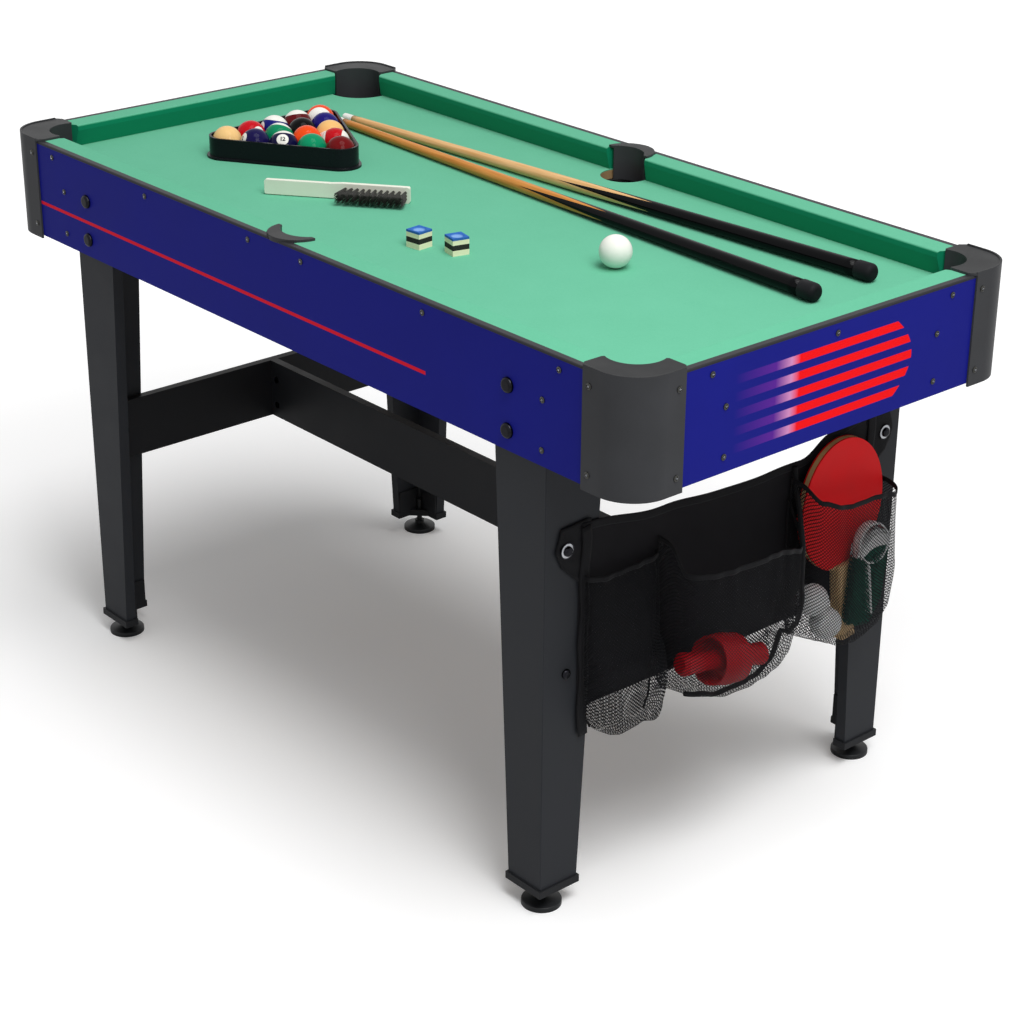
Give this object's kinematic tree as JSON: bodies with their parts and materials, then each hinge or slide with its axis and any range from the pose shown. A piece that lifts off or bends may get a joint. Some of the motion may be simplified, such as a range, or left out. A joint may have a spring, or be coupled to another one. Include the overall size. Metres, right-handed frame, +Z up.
{
  "type": "multi game table",
  "caption": "Small pool table with pocketed cushion rails on tapered L legs, with balls, rack, cues, brush and chalk on the cloth and a mesh bag of game pieces between two legs.",
  "frame": {"origin": "on the floor under the middle of the table", "axes": "+X along the table's length towards the bag, +Y across it away from the front apron, +Z up"},
  "size_m": [1.2286, 0.612, 0.7153],
  "materials": {
    "apron_laminate": "satin printed laminate on fibreboard",
    "bag_fabric": "woven polyester",
    "bag_mesh": "knitted polyester mesh",
    "bat_rubber": "pimpled rubber, smooth side out",
    "bat_wood": "sanded plywood",
    "bearer_wood": "raw fibreboard",
    "bed_board": "raw fibreboard",
    "bed_cloth": "napped cloth",
    "bolt_steel": "black oxide and zinc plated steel",
    "brush_bristle": "nylon bristles",
    "brush_plastic": "moulded plastic",
    "bumper_rubber": "moulded rubber",
    "cap_plastic": "moulded plastic",
    "casting_plastic": "satin moulded plastic",
    "chalk": "pressed chalk in a paper wrap",
    "cue_ball_resin": "polished resin",
    "cue_wood": "varnished hardwood",
    "cup_plastic": "moulded plastic",
    "ferrule_plastic": "polished plastic with a leather tip",
    "leg_laminate": "satin laminate on fibreboard",
    "leveller_plastic": "moulded plastic",
    "net_fabric": "knotted polyester with a white tape",
    "object_ball_resin": "polished resin",
    "pusher_plastic": "moulded plastic",
    "rack_plastic": "moulded plastic",
    "rail_cloth": "napped cloth over rubber",
    "screw_steel": "zinc plated steel",
    "stretcher_laminate": "satin laminate on fibreboard",
    "tennis_ball_plastic": "matt celluloid",
    "trim_plastic": "satin moulded strip"
  },
  "bodies": {
    "table": {"apron_front": "apron_laminate", "apron_left": "apron_laminate", "apron_rear": "apron_laminate", "apron_right": "apron_laminate", "bag_panel": "bag_fabric", "bag_pockets": "bag_mesh", "bed_bearers": "bearer_wood", "bed_board": "bed_board", "bed_cloth": "bed_cloth", "centre_stretcher": "stretcher_laminate", "corner_casting_front_left": "casting_plastic", "corner_casting_front_right": "casting_plastic", "corner_casting_rear_left": "casting_plastic", "corner_casting_rear_right": "casting_plastic", "corner_cup_front_left": "cup_plastic", "corner_cup_front_right": "cup_plastic", "corner_cup_rear_left": "cup_plastic", "corner_cup_rear_right": "cup_plastic", "cushion_front_left": "rail_cloth", "cushion_front_right": "rail_cloth", "cushion_left": "rail_cloth", "cushion_rear_left": "rail_cloth", "cushion_rear_right": "rail_cloth", "cushion_right": "rail_cloth", "edge_trims": "trim_plastic", "end_stretcher_left": "stretcher_laminate", "end_stretcher_right": "stretcher_laminate", "frame_bolts": "bolt_steel", "leg_end_caps": "cap_plastic", "leg_front_left": "leg_laminate", "leg_front_right": "leg_laminate", "leg_rear_left": "leg_laminate", "leg_rear_right": "leg_laminate", "side_cup_front": "cup_plastic", "side_cup_rear": "cup_plastic", "side_pocket_front": "casting_plastic", "side_pocket_rear": "casting_plastic", "small_screws": "screw_steel", "table_tennis_balls": "tennis_ball_plastic"},
    "rack": {"rack": "rack_plastic"},
    "object_balls": {"object_balls": "object_ball_resin"},
    "cue_ball": {"cue_ball": "cue_ball_resin"},
    "cue_1": {"cue_1_shaft": "cue_wood", "cue_1_ferrule": "ferrule_plastic", "cue_1_bumper": "bumper_rubber"},
    "cue_2": {"cue_2_shaft": "cue_wood", "cue_2_ferrule": "ferrule_plastic", "cue_2_bumper": "bumper_rubber"},
    "brush": {"brush_back": "brush_plastic", "brush_bristles": "brush_bristle"},
    "chalk_1": {"chalk_1": "chalk"},
    "chalk_2": {"chalk_2": "chalk"},
    "bat": {"bat": "bat_wood", "bat_rubbers": "bat_rubber"},
    "pushers": {"pushers": "pusher_plastic"},
    "table_tennis_net": {"table_tennis_net": "net_fabric"},
    "leveller_front_left": {"leveller_front_left": "leveller_plastic"},
    "leveller_front_right": {"leveller_front_right": "leveller_plastic"},
    "leveller_rear_left": {"leveller_rear_left": "leveller_plastic"},
    "leveller_rear_right": {"leveller_rear_right": "leveller_plastic"}
  },
  "joints": [
    {"name": "leveller_front_left_screw", "type": "slide", "parent": "table", "child": "leveller_front_left", "axis": [0, 0, -1], "range_m": [0, 0.01]},
    {"name": "leveller_front_right_screw", "type": "slide", "parent": "table", "child": "leveller_front_right", "axis": [0, 0, -1], "range_m": [0, 0.01]},
    {"name": "leveller_rear_left_screw", "type": "slide", "parent": "table", "child": "leveller_rear_left", "axis": [0, 0, -1], "range_m": [0, 0.01]},
    {"name": "leveller_rear_right_screw", "type": "slide", "parent": "table", "child": "leveller_rear_right", "axis": [0, 0, -1], "range_m": [0, 0.01]},
    {"name": "rack_lift", "type": "slide", "parent": "object_balls", "child": "rack", "axis": [0, 0, 1], "range_m": [0, 0.2]},
    {"name": "object_balls_lift", "type": "slide", "parent": "table", "child": "object_balls", "axis": [0, 0, 1], "range_m": [0, 0.2]},
    {"name": "cue_ball_lift", "type": "slide", "parent": "table", "child": "cue_ball", "axis": [0, 0, 1], "range_m": [0, 0.2]},
    {"name": "cue_1_lift", "type": "slide", "parent": "table", "child": "cue_1", "axis": [0, 0, 1], "range_m": [0, 0.2]},
    {"name": "cue_2_lift", "type": "slide", "parent": "table", "child": "cue_2", "axis": [0, 0, 1], "range_m": [0, 0.2]},
    {"name": "brush_lift", "type": "slide", "parent": "table", "child": "brush", "axis": [0, 0, 1], "range_m": [0, 0.2]},
    {"name": "chalk_1_lift", "type": "slide", "parent": "table", "child": "chalk_1", "axis": [0, 0, 1], "range_m": [0, 0.2]},
    {"name": "chalk_2_lift", "type": "slide", "parent": "table", "child": "chalk_2", "axis": [0, 0, 1], "range_m": [0, 0.2]},
    {"name": "bat_lift", "type": "slide", "parent": "table", "child": "bat", "axis": [0, 0, 1], "range_m": [0, 0.08]},
    {"name": "pushers_lift", "type": "slide", "parent": "table", "child": "pushers", "axis": [0, 0, 1], "range_m": [0, 0.2]},
    {"name": "table_tennis_net_lift", "type": "slide", "parent": "table", "child": "table_tennis_net", "axis": [0, 0, 1], "range_m": [0, 0.2]}
  ]
}
